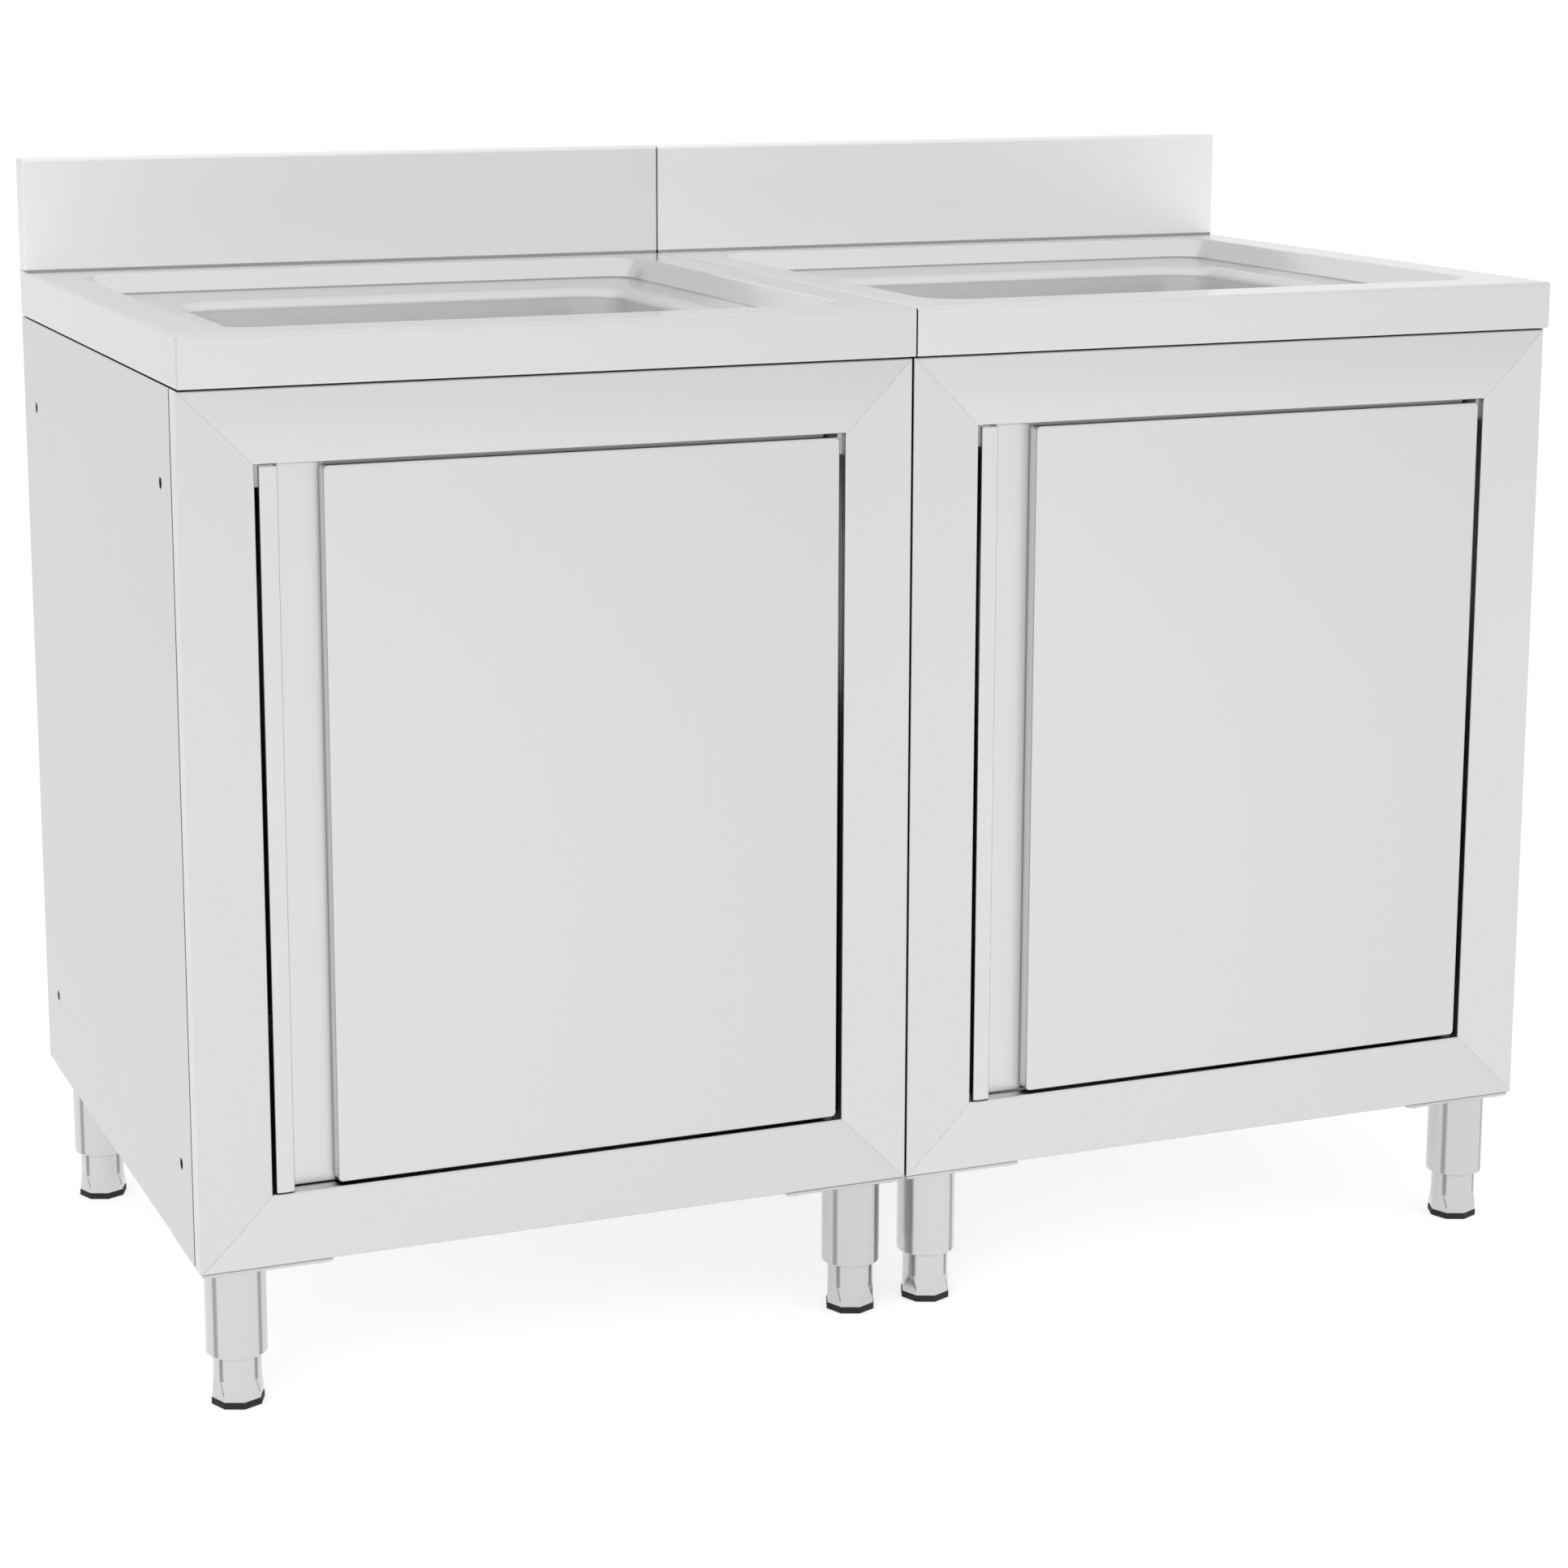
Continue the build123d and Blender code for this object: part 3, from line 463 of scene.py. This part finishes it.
# ---- Door stops and catches --------------------------------------------------------
# A folded angle behind the top rail that the door closes on, and a moulded magnetic
# catch screwed to its back.
catch_plastic = moulded_plastic("catch_plastic", (0.80, 0.80, 0.78), 0.42)
stop_steel = satin_steel(
    "stop_steel", light=0.56, dark=0.54, roughness=0.40, stretch=along_x, wave=0.0,
    joint_shade_tone=0.8)
# A faint glow stands in for the light that comes in through the gaps round the door.
stop_glow = 0.35
stop_shader = stop_steel.node_tree.nodes["Principled BSDF"]
stop_shader.inputs["Emission Color"].default_value = (1, 1, 1, 1)
stop_shader.inputs["Emission Strength"].default_value = stop_glow
for unit in units:
    finish_node(unit + "_door_stop", stop_steel)
    finish_node(unit + "_magnet_catch", catch_plastic)


# ---- Doors -------------------------------------------------------------------------
# A double-skinned door: outer tray, inner skin and the folded full-height grip, all of
# satin sheet brushed upright.
door_steel = satin_steel(
    "door_steel", light=0.69, dark=0.675, roughness=0.30, stretch=along_z, wave=0.0010)
for unit in units:
    for skin in ("_door_front", "_door_back", "_door_grip"):
        finish_node(unit + skin, door_steel)


# ---- Hinges ------------------------------------------------------------------------
# Turned steel pivot pins that sit in the top and bottom rails, and flanged bushes of
# black nylon, pushed into the door's ends, that turn on them.
pin_steel = satin_steel(
    "pin_steel", light=0.62, dark=0.58, roughness=0.25, stretch=(3.0, 3.0, 0.4), wave=0.0)
bush_nylon = moulded_plastic("bush_nylon", (0.03, 0.03, 0.03), 0.5)
for unit in units:
    finish_node(unit + "_hinge_pins", pin_steel)
    finish_node(unit + "_hinge_bushes", bush_nylon)


# ---- Legs --------------------------------------------------------------------------
# Plates with welded sleeves under each cabinet, and the feet that screw out of them:
# tube turned round above and pressed to an octagon at the base, on a rubber sole.
def reflection_bands_group():
    """Painted reflection: soft upright dark stripes that stand in for darker surroundings
    mirrored in a tube: 0 in their middle and 1 on the plain tube between them."""
    tree, given, result = group_tree(
        "reflection_bands", {"Left": (-1, 0, 0), "Right": (1, 0, 0), "Width": 0.011}, ["Plain"])
    facing = add_node(tree, "ShaderNodeNewGeometry", {}).outputs["Normal"]
    nearest = add_math(
        tree, "MAXIMUM", reach_along(tree, facing, given["Left"]),
        reach_along(tree, facing, given["Right"]))
    gap = add_math(tree, "SUBTRACT", 1.0, nearest)
    plain = add_math(tree, "DIVIDE", gap, given["Width"])
    plain.node.use_clamp = True
    tree.links.new(plain, result["Plain"])
    return tree


reflection_bands = reflection_bands_group()
# Painted reflection: two darker upright bands on the legs, placed by which way the surface
# faces.
left_reflection_band, right_reflection_band, reflection_band_tone = math.radians(214), math.radians(307), 0.32
leg_steel = satin_steel(
    "leg_steel", light=0.63, dark=0.61, roughness=0.24, stretch=(0.2, 0.2, 9.0), wave=0.0,
    edge=0.0004, relief=0.000002)
bands = add_node(leg_steel.node_tree, "ShaderNodeGroup", {
    "Left": (math.cos(left_reflection_band), math.sin(left_reflection_band), 0),
    "Right": (math.cos(right_reflection_band), math.sin(right_reflection_band), 0)}, node_tree=reflection_bands)
scale_colour(leg_steel, bands.outputs["Plain"], reflection_band_tone, 1.0)
rubber = moulded_plastic("sole_rubber", (0.022, 0.022, 0.022), 0.75)

plate_size, plate_thickness, leg_inset = 0.105, 0.003, 0.033
plate_corner, plate_edge, corner_steps = 0.004, 0.0004, 6
sleeve_radius, sleeve_bore, weld_size = 0.0243, 0.0194, 0.0022
sleeve_edge, bend_steps = 0.0012, 5
foot_radius, foot_top, octagon_top, round_bottom = 0.01905, 0.100, 0.009, 0.022
base_radius, base_corners, taper_steps, ring_steps = 0.0208, 8, 12, 96
sole_radius, sole_height = 0.0215, 0.0055
sole_foot_inset, sole_foot_height, sole_top_edge = 0.0006, 0.0005, 0.0004
foot_sharp_degrees, mounts_sharp_degrees = 20, 50


def ringed(mesh, rings, closed=False):
    """Joins rings of points into a skin, with its ends capped unless it closes on itself."""
    rows = [[mesh.verts.new(point) for point in ring] for ring in rings]
    pairs = list(zip(rows, rows[1:] + rows[:1] if closed else rows[1:]))
    for low, high in pairs:
        for i in range(len(low)):
            j = (i + 1) % len(low)
            mesh.faces.new((low[i], low[j], high[j], high[i]))
    if not closed:
        mesh.faces.new(list(reversed(rows[0])))
        mesh.faces.new(rows[-1])


def made_piece(name, shape, material, body, replaced, sharp_degrees):
    """A finished piece on its body, smooth but for its sharp edges."""
    bmesh.ops.recalc_face_normals(shape, faces=shape.faces)
    for edge in shape.edges:
        edge.smooth = edge.calc_face_angle(0.0) < math.radians(sharp_degrees)
    for face in shape.faces:
        face.smooth = True
    mesh = bpy.data.meshes.new(name)
    shape.to_mesh(mesh)
    shape.free()
    mesh.materials.append(material)
    piece = bpy.data.objects.new(name, mesh)
    bpy.context.scene.collection.objects.link(piece)
    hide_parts(*replaced)
    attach(piece, body)


def level_ring(centre, height, radius, octagonal=False):
    """A level ring of points: round, or held within the octagon of the foot's base."""
    half = math.pi / base_corners
    points = []
    for i in range(ring_steps):
        angle = math.tau * i / ring_steps
        reach = radius
        if octagonal:
            off_middle = (angle % (2 * half)) - half
            reach = min(radius, base_radius * math.cos(half) / math.cos(off_middle))
        points.append((
            centre[0] + reach * math.cos(angle), centre[1] + reach * math.sin(angle),
            height))
    return points


def add_sleeve(mesh, centre, top, bottom):
    """Sleeve tube with the weld bead under the plate and a rolled lower edge."""
    turns = [math.pi / 2 * step / bend_steps for step in range(bend_steps + 1)]
    profile = [(sleeve_bore, top), (sleeve_radius + weld_size, top)]
    for turn in turns[1:]:
        profile.append((
            sleeve_radius + weld_size * (1 - math.sin(turn)),
            top - weld_size * (1 - math.cos(turn))))
    for turn in turns:
        profile.append((
            sleeve_radius - sleeve_edge * (1 - math.cos(turn)),
            bottom + sleeve_edge * (1 - math.sin(turn))))
    profile.append((sleeve_bore, bottom))
    ringed(
        mesh, [level_ring(centre, height, radius) for radius, height in profile],
        closed=True)


def add_plate(mesh, low_corner, high_corner, bottom, top):
    """Square plate with rounded corners and broken edges."""
    def outline(height, inset):
        reach = plate_corner - inset
        points = []
        for right, rear, start in ((1, 1, 0), (0, 1, 90), (0, 0, 180), (1, 0, 270)):
            x = high_corner[0] - plate_corner if right else low_corner[0] + plate_corner
            y = high_corner[1] - plate_corner if rear else low_corner[1] + plate_corner
            for step in range(corner_steps + 1):
                turn = math.radians(start + 90 / corner_steps * step)
                points.append((
                    x + reach * math.cos(turn), y + reach * math.sin(turn), height))
        return points
    ringed(mesh, [
        outline(bottom, plate_edge), outline(bottom + plate_edge, 0),
        outline(top - plate_edge, 0), outline(top, plate_edge)])


def foot_rings(centre):
    """The foot from its octagonal base, through the taper, to the round tube."""
    rings = [level_ring(centre, sole_height, base_radius, octagonal=True)]
    for step in range(taper_steps + 1):
        share = step / taper_steps
        height = octagon_top + (round_bottom - octagon_top) * share
        radius = base_radius + (foot_radius - base_radius) * share
        rings.append(level_ring(centre, height, radius, octagonal=True))
    rings.append(level_ring(centre, foot_top, foot_radius))
    return rings


def sole_rings(centre):
    """The sole: the base's octagon, a little larger, with broken edges."""
    rings = []
    for height, inset in (
        (0.0, sole_foot_inset), (sole_foot_height, 0.0),
        (sole_height - sole_top_edge, 0.0), (sole_height, sole_top_edge),
    ):
        grow = 1 + (sole_radius - base_radius - inset) / base_radius
        rings.append([
            (centre[0] + (x - centre[0]) * grow, centre[1] + (y - centre[1]) * grow, z)
            for x, y, z in level_ring(centre, height, base_radius, octagonal=True)])
    return rings


for unit in units:
    mounts_low, mounts_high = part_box(unit + "_leg_mounts")
    plate_bottom = mounts_high.z - plate_thickness
    mounts_shape = bmesh.new()
    for end in ("front", "rear"):
        for side in ("left", "right"):
            x0 = mounts_low.x if side == "left" else mounts_high.x - plate_size
            y0 = mounts_low.y if end == "front" else mounts_high.y - plate_size
            leg_x = x0 + (leg_inset if side == "left" else plate_size - leg_inset)
            leg_y = y0 + (leg_inset if end == "front" else plate_size - leg_inset)
            add_plate(
                mounts_shape, (x0, y0), (x0 + plate_size, y0 + plate_size),
                plate_bottom, mounts_high.z)
            add_sleeve(mounts_shape, (leg_x, leg_y), plate_bottom, mounts_low.z)

            foot_name = unit + "_foot_" + end + "_" + side
            foot_shape = bmesh.new()
            ringed(foot_shape, foot_rings((leg_x, leg_y)))
            made_piece(
                foot_name + "_tube", foot_shape, leg_steel, foot_name,
                [foot_name], foot_sharp_degrees)

            sole_name = unit + "_sole_" + end + "_" + side
            sole_shape = bmesh.new()
            ringed(sole_shape, sole_rings((leg_x, leg_y)))
            made_piece(
                sole_name + "_pad", sole_shape, rubber, foot_name,
                [sole_name], foot_sharp_degrees)
    made_piece(
        unit + "_mounts", mounts_shape, leg_steel, "root",
        [unit + "_leg_mounts"], mounts_sharp_degrees)


# ---- Leg bolts ---------------------------------------------------------------------
# Four round-headed bolts through each leg plate, with a hexagon socket in the head: one
# rule places them at the corners of every plate, on both cabinets.
def bolts_tree():
    """Domed heads with sockets at the corners of each plate of each cabinet."""
    tree = bpy.data.node_groups.new("leg_bolt_rule", "GeometryNodeTree")
    sockets = [("Geometry", "Geometry"), ("Middle", "Vector"), ("Finish", "Material")]
    sockets += [(size, "Float") for size in (
        "Units Apart", "Plates Apart X", "Plates Apart Y", "Bolts Apart",
        "Head Radius", "Head Height", "Socket Radius", "Socket Depth")]
    for socket_name, kind in sockets:
        tree.interface.new_socket(
            socket_name, in_out="INPUT", socket_type="NodeSocket" + kind)
    tree.interface.new_socket(
        "Geometry", in_out="OUTPUT", socket_type="NodeSocketGeometry")
    given = tree.nodes.new("NodeGroupInput").outputs

    def corners_of(size_x, size_y):
        """The four corners of a level rectangle."""
        return add_node(tree, "GeometryNodeMeshGrid", {
            "Size X": size_x, "Size Y": size_y,
            "Vertices X": 2, "Vertices Y": 2}).outputs["Mesh"]

    def on_points(points, copied):
        """A copy of a shape on every point."""
        copies = add_node(tree, "GeometryNodeInstanceOnPoints", {
            "Points": points, "Instance": copied})
        return add_node(tree, "GeometryNodeRealizeInstances", {
            "Geometry": copies.outputs["Instances"]}).outputs["Geometry"]

    dome = add_node(tree, "GeometryNodeMeshUVSphere", {
        "Segments": 32, "Rings": 16, "Radius": given["Head Radius"]})
    flatness = add_node(tree, "ShaderNodeCombineXYZ", {
        "X": 1.0, "Y": 1.0,
        "Z": add_math(tree, "DIVIDE", given["Head Height"], given["Head Radius"])})
    flat_dome = add_node(tree, "GeometryNodeTransform", {
        "Geometry": dome.outputs["Mesh"], "Scale": flatness.outputs[0]})
    socket_form = add_node(tree, "GeometryNodeMeshCylinder", {
        "Vertices": 6, "Radius": given["Socket Radius"],
        "Depth": add_math(tree, "MULTIPLY", given["Socket Depth"], 2.0)})
    head_foot = add_node(tree, "ShaderNodeCombineXYZ", {
        "Z": add_math(tree, "MULTIPLY", given["Head Height"], -1.0)})
    sunk = add_node(tree, "GeometryNodeTransform", {
        "Geometry": socket_form.outputs["Mesh"], "Translation": head_foot.outputs[0]})
    head = add_node(tree, "GeometryNodeMeshBoolean", {
        "Mesh 1": flat_dome.outputs["Geometry"],
        "Mesh 2": sunk.outputs["Geometry"]}, operation="DIFFERENCE")
    one_plate = on_points(
        corners_of(given["Bolts Apart"], given["Bolts Apart"]), head.outputs["Mesh"])
    one_unit = on_points(
        corners_of(given["Plates Apart X"], given["Plates Apart Y"]), one_plate)
    to_next = add_node(tree, "ShaderNodeCombineXYZ", {"X": given["Units Apart"]})
    unit_middles = add_node(tree, "GeometryNodeMeshLine", {
        "Count": 2, "Start Location": given["Middle"], "Offset": to_next.outputs[0]})
    both_units = on_points(unit_middles.outputs["Mesh"], one_unit)
    finished = add_node(tree, "GeometryNodeSetMaterial", {
        "Geometry": both_units, "Material": given["Finish"]})
    add_node(tree, "NodeGroupOutput", {"Geometry": finished.outputs["Geometry"]})
    return tree


bolt_inset = 0.010
first_low, first_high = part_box("left_leg_mounts")
second_low, second_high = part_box("right_leg_mounts")
bolt_sizes = {
    "Units Apart": second_low.x - first_low.x,
    "Plates Apart X": first_high.x - first_low.x - plate_size,
    "Plates Apart Y": first_high.y - first_low.y - plate_size,
    "Bolts Apart": plate_size - 2 * bolt_inset,
    "Head Radius": 0.0065,
    "Head Height": 0.0035,
    "Socket Radius": 0.0026,
    "Socket Depth": 0.0022,
    "Middle": (
        (first_low.x + first_high.x) / 2, (first_low.y + first_high.y) / 2,
        first_high.z - plate_thickness),
    "Finish": pin_steel,
}
bolt_rule = bolts_tree()
bolt_maker = bpy.data.objects.new("bolt_maker", bpy.data.meshes.new("bolt_seed"))
bpy.context.scene.collection.objects.link(bolt_maker)
modifier = bolt_maker.modifiers.new("bolts", "NODES")
modifier.node_group = bolt_rule
for socket in bolt_rule.interface.items_tree:
    if socket.in_out == "INPUT" and socket.name in bolt_sizes:
        modifier[socket.identifier] = bolt_sizes[socket.name]
bpy.context.view_layer.update()
evaluated = bolt_maker.evaluated_get(bpy.context.evaluated_depsgraph_get())
bolt_mesh = bpy.data.meshes.new_from_object(evaluated)
bpy.data.objects.remove(bolt_maker)
for polygon in bolt_mesh.polygons:
    polygon.use_smooth = True
leg_bolt_heads = bpy.data.objects.new("leg_bolt_heads", bolt_mesh)
bpy.context.scene.collection.objects.link(leg_bolt_heads)
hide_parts("leg_bolts")
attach(leg_bolt_heads, "root")


# ---- Joining bolts -----------------------------------------------------------------
# Plain steel bolts and nuts that draw the two cabinets together. They pass through the
# holes in the side trays and are tightened from inside the cabinets.
finish_node("joining_bolts", pin_steel)
